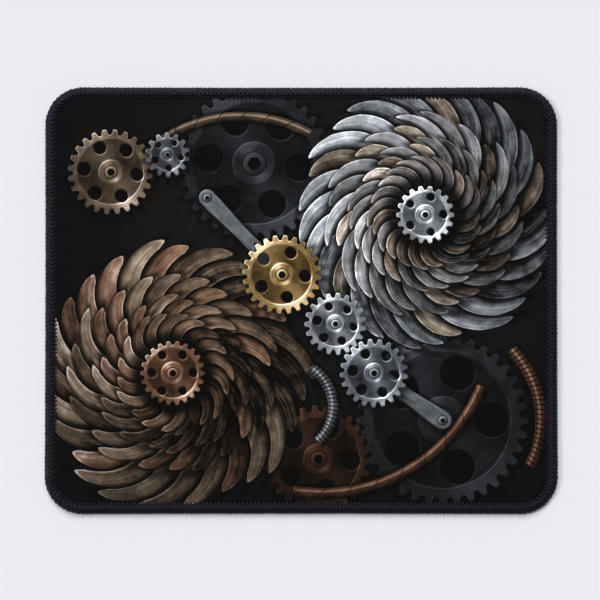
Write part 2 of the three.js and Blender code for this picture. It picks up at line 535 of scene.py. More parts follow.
# %% The rim's section
UNDER_ROUND = 1.7 * MM
LOWER_INNER_END = TOOTH_INSET - 0.4 * MM
FOOT_DROP = 0.1 * MM
SLOPE_POWER = 3.6
NEARBY = 0.02  # a step along the line, short enough to give its slope


def upper_line(share):
    """The top of the rim as (inset, height), from the inner end at 0 to the parting at the edge at 1."""
    if share < 0.5:
        inset = TOOTH_INSET + (CROWN_INSET - TOOTH_INSET) * share * 2
        foot = CLOTH_FACE - FOOT_DROP
        down = min(1.0, (inset - CROWN_INSET) / (NEEDLE_LINE - CROWN_INSET))
        return inset, RIM_TOP - (RIM_TOP - foot) * down ** SLOPE_POWER
    angle = (share - 0.5) * math.pi
    return CROWN_INSET * (1 - math.sin(angle)), PARTING + (RIM_TOP - PARTING) * math.cos(angle)


def lower_line(share):
    """The bottom of the rim in the same way."""
    if share < 0.5:
        return LOWER_INNER_END + (UNDER_ROUND - LOWER_INNER_END) * share * 2, 0.0
    angle = (share - 0.5) * math.pi
    return UNDER_ROUND * (1 - math.sin(angle)), PARTING * (1 - math.cos(angle))


def sunk(line, side, share, depth):
    """A point of the line pushed in by a depth, with the surface normal there; side is 1 above, -1 below."""
    ahead, behind = line(min(1.0, share + NEARBY)), line(max(0.0, share - NEARBY))
    run, rise = ahead[0] - behind[0], ahead[1] - behind[1]
    size = math.hypot(run, rise)
    normal = (rise / size * side, -run / size * side)
    inset, height = line(share)
    return inset - normal[0] * depth, height - normal[1] * depth, normal


# %% Draw one strand of thread
THREAD_SIDES = 5
END_TAPER = 0.6


def add_strand(mesh, path, half_width, half_depth):
    """A closed tube along (along, inset, height, normal) points, with the needle line at y = 0."""
    uv = mesh.loops.layers.uv.get("strand") or mesh.loops.layers.uv.new("strand")
    rings = []
    for number, (along, inset, height, normal) in enumerate(path):
        before, after = path[max(0, number - 1)], path[min(len(path) - 1, number + 1)]
        tangent = Vector([b - a for a, b in zip(before[:3], after[:3])]).normalized()
        up = Vector((0, *normal))
        across = tangent.cross(up).normalized()
        thin = END_TAPER if number in (0, len(path) - 1) else 1.0
        middle = Vector((along, inset - NEEDLE_LINE, height))
        ring = []
        for side in range(THREAD_SIDES):
            angle = TURN * (side / THREAD_SIDES + 0.25)
            out = across * half_width * math.cos(angle) + up * half_depth * math.sin(angle)
            ring.append(mesh.verts.new(middle + out * thin))
        rings.append(ring)
    for number, (ring, following) in enumerate(zip(rings, rings[1:])):
        for side in range(THREAD_SIDES):
            other = (side + 1) % THREAD_SIDES
            face = mesh.faces.new((ring[side], following[side], following[other], ring[other]))
            corners = ((number, side), (number + 1, side), (number + 1, side + 1), (number, side + 1))
            for loop, (length, around) in zip(face.loops, corners):
                loop[uv].uv = (length / len(rings), around / THREAD_SIDES)
    mesh.faces.new(rings[0][::-1])
    mesh.faces.new(rings[-1])


# %% Lay the path of each thread
THREAD_HALF_WIDTH, THREAD_HALF_DEPTH = 0.47 * MM, 0.27 * MM
LOOP_SHARES = (0.0, 0.15, 0.23, 0.33, 0.45, 0.6, 0.8, 0.97)
LOOP_SPREAD = 0.31  # from a loop's middle to either leg, as a share of the pitch
TIP_SPREAD = 0.13  # how much more that is at the inner end
TIP_REACH = 0.75  # the share up to which it is more
EDGE_PINCH = 0.08  # how much less it is at the edge
PINCH_FROM = 0.8  # the share from which it is less
SEATING = 0.95  # how deep a loop lies, as a share of its half depth
NEEDLE_HALF_WIDTH, NEEDLE_HALF_DEPTH = 0.27 * MM, 0.22 * MM
NEEDLE_END = 0.56  # from a needle stitch's middle to its hole, as a share of the pitch
NEEDLE_SHARES = (-NEEDLE_END, -0.42, -0.2, 0.0, 0.2, 0.42, NEEDLE_END)
NEEDLE_ABOVE = (CLOTH_FACE - 0.34 * MM, 0.46 * MM)  # the height of its ends, and how far its middle arches up
NEEDLE_BELOW = (0.62 * MM, -0.4 * MM)


def looper_path(line, side):
    """One loop of looper thread: out across the rim, round, and back."""
    path = []
    for leg, order in ((-1, LOOP_SHARES), (1, LOOP_SHARES[::-1])):
        for share in order:
            spread = LOOP_SPREAD + TIP_SPREAD * (1 - smooth_step(share, 0.0, TIP_REACH))
            spread -= EDGE_PINCH * smooth_step(share, PINCH_FROM, 1.0)
            spot = sunk(line, side, share, THREAD_HALF_DEPTH * SEATING)
            path.append((leg * spread * PITCH + lean(share), *spot))
    return path


def needle_path(side):
    """One needle stitch, from hole to hole along the seam, arched over the loopers."""
    middle = (HOLE_SHIFT + 0.5) * PITCH
    ends, rise = NEEDLE_ABOVE if side > 0 else NEEDLE_BELOW
    path = []
    for share in NEEDLE_SHARES:
        arch = 1 - (abs(share) / NEEDLE_END) ** 3
        path.append((middle + share * PITCH, NEEDLE_LINE, ends + rise * arch, (0.0, float(side))))
    return path


def looper_stitch(name, line, side):
    mesh = bmesh.new()
    add_strand(mesh, looper_path(line, side), THREAD_HALF_WIDTH, THREAD_HALF_DEPTH)
    return mesh_object(name, mesh)


def needle_stitch(name):
    mesh = bmesh.new()
    for side in (1, -1):
        add_strand(mesh, needle_path(side), NEEDLE_HALF_WIDTH, NEEDLE_HALF_DEPTH)
    return mesh_object(name, mesh)


# %% [markdown]
# A Geometry Nodes tree repeats the stitch. It draws the pad's outline pulled in by an inset, cuts it into
# equal steps, stands one copy of the modifier's own mesh on each step with its X along the seam, and turns
# and stretches each copy a little, because stitches are never quite alike. Round the corners the stitches
# fan out, and the thread spreads to fill the rim. Each copy also gets a number, its tone, for the thread's
# finish. An Array modifier along a curve would bend and stretch the stitches at the corners, where these
# keep their shape.

# %% The tree that sews round the rim
CORNER_STEPS = 24


def random_between(low, high, seed):
    """A random number for each copy."""
    inputs = {2: low, 3: high, "Seed": seed}
    return add_node(tree_of(low, high, seed), "FunctionNodeRandomValue", inputs, 1, data_type="FLOAT")


def random_scale(stretch, seed):
    """A random scale for each copy, within a stretch of 1 along each axis."""
    small, large = 1.0 - stretch, 1.0 + stretch
    return add_node(stretch.tree, "FunctionNodeRandomValue", {
        0: join(small, small, small), 1: join(large, large, large), "Seed": seed}, data_type="FLOAT_VECTOR")


def seam_tree():
    sizes = ("Length", "Width", "Corner radius", "Inset", "Fan", "Turn", "Stretch", "Dullest")
    tree, values = new_group("Sew round the rim", "GeometryNodeTree", {
        "Stitch": "Geometry", **dict.fromkeys(sizes, "Float"), "Stitches": "Int", "Seed": "Int",
        "Thread": "Material"})
    stitch, length, width, corner, inset, fan, turn, stretch, dullest, stitches, seed, thread = values
    node = partial(add_node, tree)
    path = node("GeometryNodeCurvePrimitiveQuadrilateral", {
        "Width": length - inset * 2.0, "Height": width - inset * 2.0})
    path = node("GeometryNodeFilletCurve", {
        "Curve": path, "Count": CORNER_STEPS, "Radius": corner - inset}, mode="POLY")
    path = node("GeometryNodeResampleCurve", {"Curve": path, "Count": stitches}, mode="COUNT")
    along = node("GeometryNodeInputTangent")
    lie = node("FunctionNodeAxesToRotation", {
        "Primary Axis": (0.0, 0.0, 1.0), "Secondary Axis": along}, primary_axis="Z", secondary_axis="X")
    turned = join(0.0, 0.0, random_between(turn * -1.0, turn, seed))
    lie = node("FunctionNodeRotateRotation", {"Rotation": lie, "Rotate By": turned}, rotation_space="LOCAL")
    x, y, _ = split(node("GeometryNodeInputPosition"))
    past_x = maths("GREATER_THAN", size_of(x), length * 0.5 - corner)
    past_y = maths("GREATER_THAN", size_of(y), width * 0.5 - corner)
    wider = past_x * past_y * (fan - 1.0) + 1.0
    scale = vectors("MULTIPLY", random_scale(stretch, seed + 1.0), join(wider, 1.0, 1.0))
    copies = node("GeometryNodeInstanceOnPoints", {
        "Points": path, "Instance": stitch, "Rotation": lie, "Scale": scale})
    tone = random_between(dullest, 1.0, seed + 2.0)
    copies = node("GeometryNodeStoreNamedAttribute", {"Geometry": copies, "Name": "tone", "Value": tone},
                  data_type="FLOAT", domain="INSTANCE")
    sewn = node("GeometryNodeRealizeInstances", {"Geometry": copies})
    sewn = node("GeometryNodeSetMaterial", {"Geometry": sewn, "Material": thread})
    return close_group(tree, "Geometry", {"Seam": sewn})


# %% Sew the three threads
thread_finish = bpy.data.materials.new("edge_thread")
SEW = seam_tree()
SEAM = {"Length": LENGTH, "Width": WIDTH, "Corner_radius": CORNER_RADIUS, "Inset": NEEDLE_LINE,
        "Stitches": STITCHES, "Thread": thread_finish}
LOOPER = {"Fan": 1.22, "Turn": 0.05, "Stretch": 0.02, "Dullest": 0.0}

upper_looper = looper_stitch("upper_looper_stitches", upper_line, 1)
lower_looper = looper_stitch("lower_looper_stitches", lower_line, -1)
needle = needle_stitch("needle_stitches")
run_tree(upper_looper, SEW, **SEAM, **LOOPER, Seed=11)
run_tree(lower_looper, SEW, **SEAM, **LOOPER, Seed=23)
# the needle stitches keep to the lighter tones: partly the thread's own colour, partly a painted highlight
# along the seam
run_tree(needle, SEW, **SEAM, Fan=1.0, Turn=0.04, Stretch=0.03, Seed=37, Dullest=0.8)

# %% [markdown]
# Behind the loops that show lie more turns of the same thread, packed down on the cut edge. They close the
# gaps between the loops, so each looper gets a thin bed that follows its line a little deeper. It lies just
# under the loops at the edge, and sinks away from them inwards, where each gap shows as a dark notch. The bed
# gets no tone from the sewing tree, so it takes the thread's dullest colour, which is partly painted shade
# that deepens each notch. Wider loops would close the gaps too, but then the notches would be lost.

# %% Lay the beds under the loops
BED_THICKNESS = 0.2 * MM
BED_DEPTH = 0.42 * MM  # below the loops' line on the cloth
BED_RISE = 0.24 * MM  # how much less that is at the edge
BED_RISES = (0.36, 0.65)  # the shares of the line between which it rises
BED_START = 0.17
BED_STEPS = 12


def bed_depth(share):
    return BED_DEPTH - BED_RISE * smooth_step(share, *BED_RISES)


def add_bed(piece, line, side):
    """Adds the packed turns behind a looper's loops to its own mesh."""
    shares = [BED_START + (1 - BED_START) * step / BED_STEPS for step in range(BED_STEPS + 1)]
    outer = [sunk(line, side, share, bed_depth(share))[:2] for share in shares]
    inner = [sunk(line, side, share, bed_depth(share) + BED_THICKNESS)[:2] for share in reversed(shares)]
    bed = bmesh.new()
    carry_round(bed, stations(1), lambda stitch: outer + inner, closed=True)
    bmesh.ops.recalc_face_normals(bed, faces=bed.faces)
    bed_data = bpy.data.meshes.new("bed")
    bed.to_mesh(bed_data)
    bed.free()
    whole = bmesh.new()
    whole.from_mesh(piece.data)
    whole.from_mesh(bed_data)
    whole.to_mesh(piece.data)
    whole.free()
    bpy.data.meshes.remove(bed_data)
    piece.data.shade_smooth()


# the beds have no tone, so they take the thread's dullest colour, partly as painted shade in the gaps
add_bed(upper_looper, upper_line, 1)
add_bed(lower_looper, lower_line, -1)

# %% [markdown]
# A sewn edge is never quite straight. The taut threads draw each side in by a third of a millimetre at its
# middle, and the corners stand out. The same smooth shift goes over all five pieces, so they stay together.
# A lattice could do this, but it is only a short loop over the points.

# %% Draw the sides in
DRAWN_IN = 0.3 * MM


def draw_in(piece):
    """Moves a piece's points towards the middle, most at the middles of the sides."""
    for vert in piece.data.vertices:
        x, y = vert.co.x / (LENGTH / 2), vert.co.y / (WIDTH / 2)
        vert.co.x -= DRAWN_IN * x * (1 - y * y)
        vert.co.y -= DRAWN_IN * y * (1 - x * x)
    piece.data.update()


for piece in (cloth, rubber, upper_looper, lower_looper, needle):
    draw_in(piece)


# %% [markdown]
# Finishes next. Each one starts from the Principled shader. What is the same all over a surface, such as
# its roughness, is set on the shader's own sockets, and only what varies comes through nodes. Patterns read
# the object's own coordinates, turned into millimetres, or the strand's own UV map and tone.

# %% Start a finish
def start_finish(material, **constants):
    """Sets a material's constant sockets, and gives its tree, its shader and its place in millimetres."""
    material.use_nodes = True
    tree = material.node_tree
    shader = tree.nodes["Principled BSDF"]
    for label, value in constants.items():
        shader.inputs[label.replace("_", " ")].default_value = value
    coordinates = tree.nodes.new("ShaderNodeTexCoord")
    place = vectors("SCALE", Flow(tree, coordinates.outputs["Object"]), scale=1 / MM)
    return tree, shader, place


def ramp(value, start, end, low=0.0, high=1.0):
    """Rises smoothly from low to high as a value goes from start to end."""
    return add_node(value.tree, "ShaderNodeMapRange", {
        "Value": value, "From Min": start, "From Max": end, "To Min": low, "To Max": high},
        interpolation_type="SMOOTHSTEP")


def mix(share, a, b):
    """The vector a where share is 0, and b where it is 1."""
    node = add_node(tree_of(share, a, b), "ShaderNodeMix", data_type="VECTOR").socket.node
    plug(node.id_data, node.inputs["Factor"], share)
    ends = [socket for socket in node.inputs if socket.type == "VECTOR" and socket.name in "AB"]
    for socket, value in zip(ends, (a, b)):
        plug(node.id_data, socket, value)
    return Flow(node.id_data, next(socket for socket in node.outputs if socket.type == "VECTOR"))


def noise(vector, scale, detail=2.0, roughness=0.5, dimensions="2D"):
    socket = "W" if dimensions == "1D" else "Vector"
    inputs = {socket: vector, "Scale": scale, "Detail": detail, "Roughness": roughness}
    return add_node(vector.tree, "ShaderNodeTexNoise", inputs, noise_dimensions=dimensions)


def add_bump(tree, shader, height, relief, strength=1.0):
    """Lets a height from 0 to 1 raise the surface by a relief."""
    inputs = {"Height": height, "Distance": relief, "Strength": strength}
    plug(tree, shader.inputs["Normal"], add_node(tree, "ShaderNodeBump", inputs, "Normal"))


# %% [markdown]
# The thread is a bulked, fluffy yarn, nearly black with a blue-violet cast. It has a soft, broad gloss, which
# is the shader's specular light at a middling roughness, and a trace of Sheen for its loose fibres. A sine
# that climbs round the strand gives it its twist, and fine noise its fluff. The stitches differ a little in
# tone, by the number that each got in the tree. The needle stitches keep to the lighter tones, partly as the
# needle thread's own colour and partly as a painted highlight along its line. Real hairs would be far too
# many.

# %% Finish the thread
THREAD_DARK = (0.0022, 0.0018, 0.0036)
THREAD_LIGHT = (0.0052, 0.0042, 0.0082)
FIBRE_TINT = (0.86, 0.78, 1.0, 1.0)
PLIES = 2.0
TWISTS = 16.0
FLUFF_SCALE = 4.5
FLUFF_RELIEF = 0.09 * MM


def finish_thread():
    tree, shader, place = start_finish(
        thread_finish, Roughness=0.42, Specular_IOR_Level=0.24, Specular_Tint=FIBRE_TINT,
        Sheen_Weight=0.06, Sheen_Roughness=0.34, Sheen_Tint=FIBRE_TINT)
    tone = add_node(tree, "ShaderNodeAttribute", output="Fac", attribute_name="tone")
    length, around, _ = split(add_node(tree, "ShaderNodeUVMap", uv_map="strand"))
    twist = sine((around * PLIES + length * TWISTS) * TURN) * 0.5 + 0.5
    fluff = noise(place, FLUFF_SCALE, 3.0, 0.65, dimensions="3D")
    colour = mix(tone * 0.6 + fluff * 0.4, THREAD_DARK, THREAD_LIGHT)
    plug(tree, shader.inputs["Base Color"], colour)
    add_bump(tree, shader, twist * 0.5 + fluff * 0.9, FLUFF_RELIEF)


finish_thread()

# %% [markdown]
# Sponge rubber is matt and nearly black. Its moulded skin has a fine leathery grain with scattered pin holes,
# where the closed cells come through. The bump sinks the holes, and their colour is painted darker as painted
# shade inside them.

# %% Finish the rubber
RUBBER_DARK = (0.0075, 0.0075, 0.0078)
RUBBER_LIGHT = (0.016, 0.016, 0.0165)
GRAIN_RELIEF = 0.06 * MM


def finish_rubber():
    tree, shader, place = start_finish(rubber_finish, Roughness=0.82, Specular_IOR_Level=0.25)
    grain = noise(place, 2.6, 4.0, 0.6, dimensions="3D")
    # 1 on the skin and 0 in the pin holes, which the colour below darkens as painted shade inside them
    holes = ramp(noise(place, 5.5, 1.0, 0.5, dimensions="3D"), 0.3, 0.42)
    plug(tree, shader.inputs["Base Color"], mix(grain * holes, RUBBER_DARK, RUBBER_LIGHT))
    add_bump(tree, shader, grain * 0.6 + holes * 0.5, GRAIN_RELIEF)


finish_rubber()

# %% [markdown]
# The cloth is dye-printed before it is glued, so the print is only colour, and nothing of it stands up. It
# is a generic picture of machine scrap on black: fans of overlapping metal blades, cog wheels, link plates,
# pipes and springs, in steel grey, bronze, brass and copper. An image file would be the usual way. Here
# each motif is a node group that draws one thing from its sizes by plain geometry, in millimetres, with the
# light from the upper left. A tone runs from 0, black, to 1, a gleam, and a bare number beside a term says
# how strongly the term counts.

# %% Light the print
LIGHT_SIDE = math.radians(125)
LIGHT = (math.cos(LIGHT_SIDE), math.sin(LIGHT_SIDE))
SOFT_EDGE = 0.12
NEXT_TO_NIL = 0.01


def wrap(value, low, high):
    return maths("WRAP", value, high, low)


def towards_light(x, y, radius):
    """How far a place at x and y from a middle faces the light, from -1 to 1."""
    return (x * LIGHT[0] + y * LIGHT[1]) / (radius + NEXT_TO_NIL)


def around(position, centre):
    """A point's radius and angle round a centre, and how far it faces the light."""
    x, y, _ = split(vectors("SUBTRACT", position, centre))
    radius = distance(x, y)
    return radius, maths("ARCTAN2", y, x), towards_light(x, y, radius)


def chance(number, seed):
    """A fixed random number for each whole number."""
    return add_node(tree_of(number, seed), "ShaderNodeTexWhiteNoise", {"Vector": join(number, seed)},
                    noise_dimensions="2D")


def inside(gap, soft=SOFT_EDGE):
    """1 where a gap in millimetres is below nil, and 0 above it, with a soft edge."""
    return ramp(gap, soft * -1.0, soft, 1.0, 0.0)


def beside(gap, reach):
    """1 where a gap is nil, falling to 0 at a reach on either side."""
    return ramp(size_of(gap), 0.0, reach, 1.0, 0.0)


def motif(name, inputs, formula):
    """A node group drawn by a formula. An input is a number, or a vector if its name ends in a star."""
    kinds = {label.rstrip("*"): "Vector" if label.endswith("*") else "Float" for label in inputs}
    group, values = new_group(name, "ShaderNodeTree", kinds)
    return close_group(group, "Float", formula(*values))


# %% [markdown]
# A fan is drawn in polar coordinates round its hub, one row of blades at a time. Counting the angle in
# blades gives each blade a number, which picks its own length and tone, and the place across it from 0 to
# 1. The lit edge of each blade lies on its neighbour, and its other side sinks into shadow.

# %% Draw a row of blades
def blade_row(radius, angle, facing, inner, outer, blades, twist, seed, grime):
    share = (radius - inner) / (outer - inner)
    count = (angle + seed * 1.7 + share * share * twist) * blades / TURN
    number = floored(count)
    across = count - number
    luck = chance(maths("FLOORED_MODULO", number, blades), seed)
    other_luck = fraction(luck * 17.3)
    width = radius * TURN / blades
    bow = size_of(across * 2.0 - 0.85)
    reach = outer - (outer - inner) * luck * 0.26 - bow * bow * bow * width * 0.42
    over = radius - reach
    lit_side = cosine(angle - (LIGHT_SIDE + 1.25))
    lip = ramp(across * width, 0.15, 0.75, 1.0, 0.0) * ramp(across * width, 0.0, 0.2)
    tip = ramp(over, -0.95, -0.25)
    tucked = ramp((1.0 - across) * width, 0.0, width * 0.42 + 0.4, 1.0, 0.0)
    streak = noise(join(across * 6.0 + other_luck * 40.0, radius * 0.05), 1.0, 2.0)
    tone = 0.47 + (other_luck - 0.5) * 0.34 + (streak - 0.5) * 0.50 + (grime - 0.5) * 0.56
    tone = tone + facing * 0.10 + lit_side * 0.09 - across * 0.12
    tone = tone + (lip + tip * 0.7) * (0.20 + lit_side * 0.14)
    tone = tone * (1.0 - tucked * 0.86) * ramp(share, 0.0, 0.5, 0.25, 1.0)
    shadow = ramp(over, 0.0, 5.2 - facing * 2.2, 1.0, 0.0)
    return {"Mask": inside(over, 0.14), "Tone": tone, "Shadow": shadow, "Luck": luck}


FAN_INPUTS = ("Radius", "Angle", "Facing", "Inner", "Outer", "Blades", "Twist", "Seed", "Grime")
BLADE_ROW = motif("Blade row", FAN_INPUTS, blade_row)

# %% [markdown]
# A cog wheel is a disc whose edge rises and falls with a flattened cosine. Folding the angle into one
# sector draws all its round holes at once. A raised hub and rim, fine turning lines and a bright sweep on
# either side make it look turned from metal, and a socket screw sits in its middle.

# %% Draw a cog wheel
def cog(radius, angle, facing, size, teeth, depth, holes, hole_ring, hole_size, hub, soft, grime):
    tooth = largest(smallest(cosine(angle * teeth) * 1.8, 1.0), -1.0)
    edge = radius - size + depth * (1.0 - tooth) * 0.5
    sector = TURN / holes
    turned = wrap(angle, sector * -0.5, sector * 0.5)
    from_hole = distance(radius * cosine(turned) - hole_ring, radius * sine(turned))
    hole = hole_size - from_hole
    hole_facing = radius * facing - hole_ring * cosine(angle - turned - LIGHT_SIDE)
    hole_facing = hole_facing / (from_hole + NEXT_TO_NIL)
    rim = size - depth - (size - hub) * 0.16
    web = ramp(radius, hub, hub + 0.7) * ramp(radius, rim - 0.7, rim, 1.0, 0.0)
    turning = noise(radius + size, 1.9, 3.0, 0.7, dimensions="1D")
    sweep = power(size_of(cosine(angle - LIGHT_SIDE)), 6.0)
    tone = 0.46 + (turning - 0.5) * 0.30 + sweep * 0.34 + (grime - 0.5) * 0.55
    tone = tone * (1.0 - web * 0.40)
    tone = tone + ramp(edge, -0.8, -0.15) * (facing * 0.32 + 0.02)
    tone = tone - ramp(hole, -0.9, -0.15) * hole_facing * 0.34
    tone = tone + (beside(radius - hub, 0.6) - beside(radius - rim, 0.6)) * facing * 0.34
    head = hub * 0.56
    corner = wrap(angle + 0.4, TURN / -12, TURN / 12)
    screw = 0.62 + facing * 0.24 * radius / head
    screw = screw * ramp(radius * cosine(corner) - head * 0.5, -0.15, 0.2, 0.10, 1.0)
    screw = screw * ramp(size_of(radius - head), 0.1, 0.55, 0.25, 1.0)
    tone = tone + (screw - tone) * ramp(radius - head, -0.1, 0.35, 1.0, 0.0)
    shadow = ramp(edge, 0.0, 5.5 - facing * 3.0, 1.0, 0.0)
    return {"Mask": inside(largest(edge, hole), soft), "Tone": tone, "Shadow": shadow}


COG_INPUTS = ("Radius", "Angle", "Facing", "Size", "Teeth", "Depth", "Holes", "Hole ring", "Hole size", "Hub",
              "Soft", "Grime")
COG = motif("Cog wheel", COG_INPUTS, cog)

# %% [markdown]
# A pipe is part of a ring, shaded as a round bar, with a dark line at each collar. With a short pitch the
# same formula draws a coil spring. A link plate is the set of points near a straight line, a little
# waisted, with a screw in each end.

# %% Draw a pipe or a spring
def hose(position, centre, ring, size, first, sweep, pitch, grime):
    radius, angle, facing = around(position, centre)
    side = (radius - ring) / size
    turned = wrap(angle - first, 0.0, TURN)
    ends = smallest(turned * ring, (sweep - turned) * ring)
    mask = ramp(size_of(side), 0.92, 1.02, 1.0, 0.0) * ramp(ends, -0.15, 0.15)
    bulge = maths("SQRT", largest(1.0 - side * side, 0.0))
    gleam = beside(side - facing * 0.45, 0.36)
    phase = fraction(turned * ring / pitch + side * 0.22)
    collar = ramp(size_of(phase * 2.0 - 1.0) * pitch, pitch - 0.95, pitch - 0.1)
    tone = 0.16 + bulge * 0.24 + side * facing * 0.24 + gleam * 0.40 + (grime - 0.5) * 0.42
    tone = tone * (1.0 - collar * 0.82)
    shadow = ramp(size_of(side) * size - size, 0.0, 2.5, 1.0, 0.0) * ramp(ends, -1.0, 0.5)
    return {"Mask": mask, "Tone": tone, "Shadow": shadow}


HOSE_INPUTS = ("Position*", "Centre*", "Ring", "Size", "First", "Sweep", "Pitch", "Grime")
HOSE = motif("Pipe or spring", HOSE_INPUTS, hose)


# %% Draw a link plate
def link_plate(position, start, end, width, grime):
    x, y, _ = split(vectors("SUBTRACT", position, start))
    end_x, end_y, _ = split(vectors("SUBTRACT", end, start))
    full = distance(end_x, end_y)
    along_x, along_y = end_x / full, end_y / full
    along, off = x * along_x + y * along_y, y * along_x - x * along_y
    inner = largest(smallest(along, full), 0.0)
    gap_x, gap_y = x - inner * along_x, y - inner * along_y
    away = distance(gap_x, gap_y)
    facing = towards_light(gap_x, gap_y, away)
    middle = full * 0.5
    waist = width * (0.78 + 0.22 * ramp(size_of(inner - middle), 0.0, middle))
    over = away - waist
    to_end = size_of(along - middle) - middle
    from_screw = distance(to_end, off)
    side = ramp(along, middle - 0.1, middle + 0.1, -1.0, 1.0)
    screw_facing = to_end * side * (along_x * LIGHT[0] + along_y * LIGHT[1])
    screw_facing = screw_facing + off * (along_x * LIGHT[1] - along_y * LIGHT[0])
    screw_facing = screw_facing / (from_screw + NEXT_TO_NIL)
    brushed = noise(join(along * 0.12, off * 2.2), 1.0, 2.0)
    tone = 0.50 + (brushed - 0.5) * 0.30 + (grime - 0.5) * 0.5 + ramp(over, -0.9, -0.2) * facing * 0.30
    head = width * 0.56
    screw = (0.58 + screw_facing * 0.26) * ramp(size_of(from_screw - head), 0.1, 0.5, 0.2, 1.0)
    screw = screw * ramp(from_screw, head * 0.42, head * 0.5, 0.12, 1.0)
    tone = tone + (screw - tone) * ramp(from_screw - head, -0.1, 0.3, 1.0, 0.0)
    shadow = ramp(over, 0.0, 3.6 - facing * 1.6, 1.0, 0.0)
    return {"Mask": inside(over), "Tone": tone, "Shadow": shadow}


PLATE = motif("Link plate", ("Position*", "Start*", "End*", "Width", "Grime"), link_plate)

# %% [markdown]
# The layout is a table of things with their places in millimetres from the pad's middle. Things of one kind
# that don't overlap share a layer: at each point the shader picks the row whose rim is nearest and draws
# only that one, which costs far less than drawing them all.

# %% Lay out the print
STEEL = (0.90, 0.94, 1.0)
IRON = (0.80, 0.84, 0.92)
BRONZE = (1.0, 0.80, 0.62)
BRASS = (1.0, 0.74, 0.36)
COPPER = (1.0, 0.62, 0.43)
GROUND = (0.0052, 0.0050, 0.0050)
RUST = (0.016, 0.0105, 0.008)
BLACK_DYE = (0.0020, 0.0020, 0.0019)  # even the blackest dye gives back a little light


def fan(x, y, size, blades, twist, seed, tint, second_tint):
    return (x, y, size), (blades, twist, seed), tint, second_tint


def wheel(x, y, size, teeth, depth, turn, holes, hole_ring, hole_size, hub, tint, light, soft=SOFT_EDGE):
    return (x, y, size), (teeth, depth, turn), (holes, hole_ring, hole_size), (hub, light, soft), tint


FANS = (
    fan(-60, -34, 66, 24, 0.52, 3, BRONZE, COPPER),
    fan(58, 40, 64, 26, -0.55, 8, STEEL, BRONZE),
)
BACK_WHEELS = (
    wheel(-22, 64, 36, 34, 3.4, 0.1, 6, 21, 6.3, 10, IRON, 0.36, 0.5),
    wheel(66, -56, 40, 36, 3.6, 0.0, 5, 23, 8, 11, IRON, 0.40, 0.5),
    wheel(8, -74, 25, 26, 3.0, 0.05, 5, 15, 4.6, 7, COPPER, 0.45, 0.4),
)
MIDDLE_WHEELS = (
    wheel(-89, 60, 20, 24, 2.5, 0.1, 6, 12.4, 3.0, 5.6, BRONZE, 0.95),
    wheel(16, -11, 14.5, 19, 2.3, 0.16, 6, 8.6, 1.9, 4.2, STEEL, 1.05),
    wheel(-60, -34, 15, 22, 1.8, 0.0, 6, 9.6, 1.9, 5.2, COPPER, 1.0),
    wheel(58, 40, 13.5, 18, 1.9, 0.0, 5, 8.6, 1.8, 4.6, STEEL, 1.15),
)
FRONT_WHEELS = (
    wheel(-9, 12, 18.5, 24, 2.4, 0.08, 5, 11, 2.7, 5.4, BRASS, 1.05),
    wheel(34, -34, 16, 21, 2.3, 0.1, 6, 9.8, 2.3, 4.6, IRON, 0.95),
    wheel(-62.5, 68, 10.5, 14, 2.2, 0.2, 5, 6.4, 1.4, 3.3, STEEL, 0.8),
)


def nearest(position, rows):
    """The numbers of the row whose rim is nearest to each point."""
    nothing = vectors("SCALE", position, scale=0.0)
    chosen = [vectors("ADD", nothing, numbers) for numbers in rows[0]]
    best = vectors("DISTANCE", position, (*rows[0][0][:2], 0.0), output="Value") - rows[0][0][2]
    for row in rows[1:]:
        gap = vectors("DISTANCE", position, (*row[0][:2], 0.0), output="Value") - row[0][2]
        closer = maths("LESS_THAN", gap, best)
        best = smallest(gap, best)
        chosen = [mix(closer, old, new) for old, new in zip(chosen, row)]
    return chosen


# %% [markdown]
# A metal shows its own colour most deeply where it is dark, and goes towards white where it gleams. Each
# layer first darkens what lies under it by its shadow, and then covers it by its mask. The renderer has
# little room for values that wait at the same time, so each layer's place is made to depend on the colour
# below it, by an amount too small to see, and the layers are worked out one after the other.

# %% Paint the layers
WHITE = (1.0, 1.0, 1.0)
SHADE = 0.85
GAMMA = 2.2
TOO_LITTLE_TO_SEE = 1e-7


def metal(tone, tint, light):
    """The colour of a metal at a tone from 0, black, to 1, a gleam."""
    level = largest(tone * light, 0.0)
    own = vectors("MULTIPLY", mix(smallest(level, 1.0), tint, WHITE), tint)
    body = vectors("SCALE", own, scale=power(level, GAMMA))
    return vectors("ADD", body, vectors("SCALE", WHITE, scale=ramp(level, 0.66, 1.05, 0.0, 0.45)))


